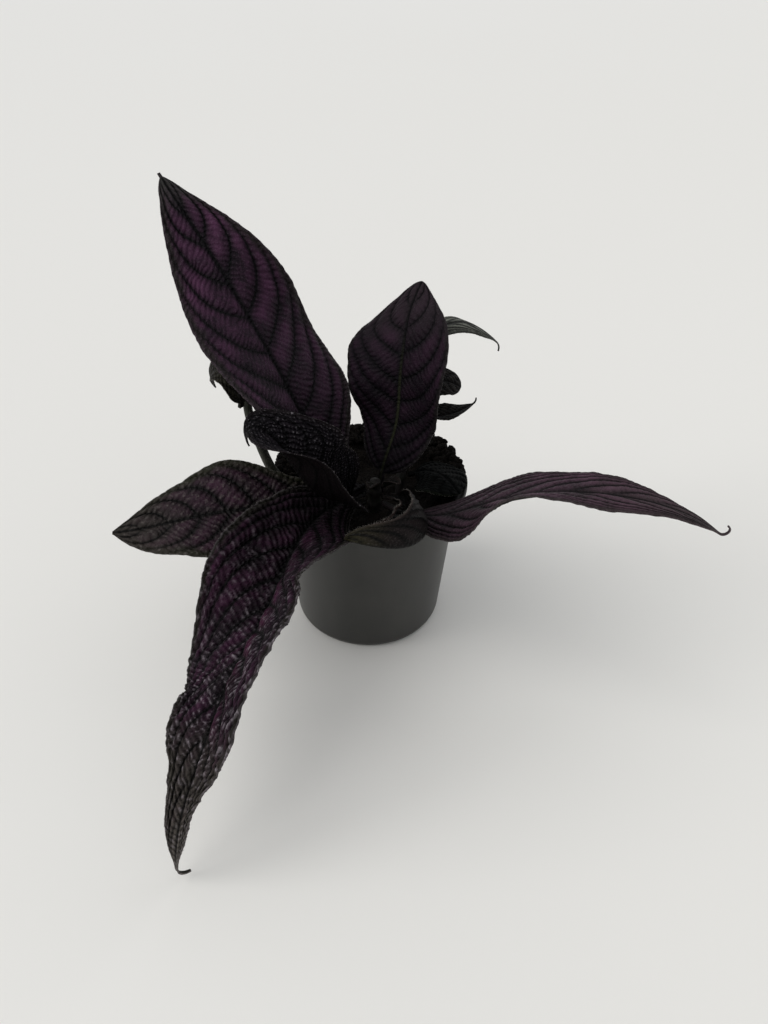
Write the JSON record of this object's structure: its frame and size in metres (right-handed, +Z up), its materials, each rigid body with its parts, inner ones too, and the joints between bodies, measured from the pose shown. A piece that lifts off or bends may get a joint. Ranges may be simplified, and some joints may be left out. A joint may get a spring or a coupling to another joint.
{
  "type": "potted strobilanthes",
  "caption": "Young dark purple strobilanthes with long quilted leaves in a plain round nursery pot.",
  "frame": {"origin": "middle of the pot's flat bottom, where it rests", "axes": "+Z up along the pot's axis, -Y towards the front, where the long leaf droops, +X to the right"},
  "size_m": [0.3245, 0.2614, 0.2644],
  "materials": {
    "pot": "satin",
    "soil": "matte",
    "stem_dark": "matte",
    "stem_old": "matte",
    "leaf_purple": "satin",
    "leaf_dark": "satin",
    "leaf_green": "satin",
    "leaf_pale": "matte"
  },
  "bodies": {
    "root": {"pot": "pot", "soil": "soil", "main_stem": "stem_dark", "rear_stem": "stem_dark", "old_stem": "stem_old", "leaf_tall": "leaf_purple", "leaf_upright": "leaf_purple", "leaf_young": "leaf_dark", "leaf_left": "leaf_purple", "leaf_drooping": "leaf_purple", "leaf_right": "leaf_purple", "leaf_curled": "leaf_green", "leaf_in_pot": "leaf_green", "leaf_withered": "leaf_pale", "leaf_rear_long": "leaf_pale", "leaf_rear_round": "leaf_dark", "leaf_rear_pointed": "leaf_dark", "bud_leaf_left": "leaf_green", "bud_leaf_right": "leaf_green"}
  },
  "joints": []
}
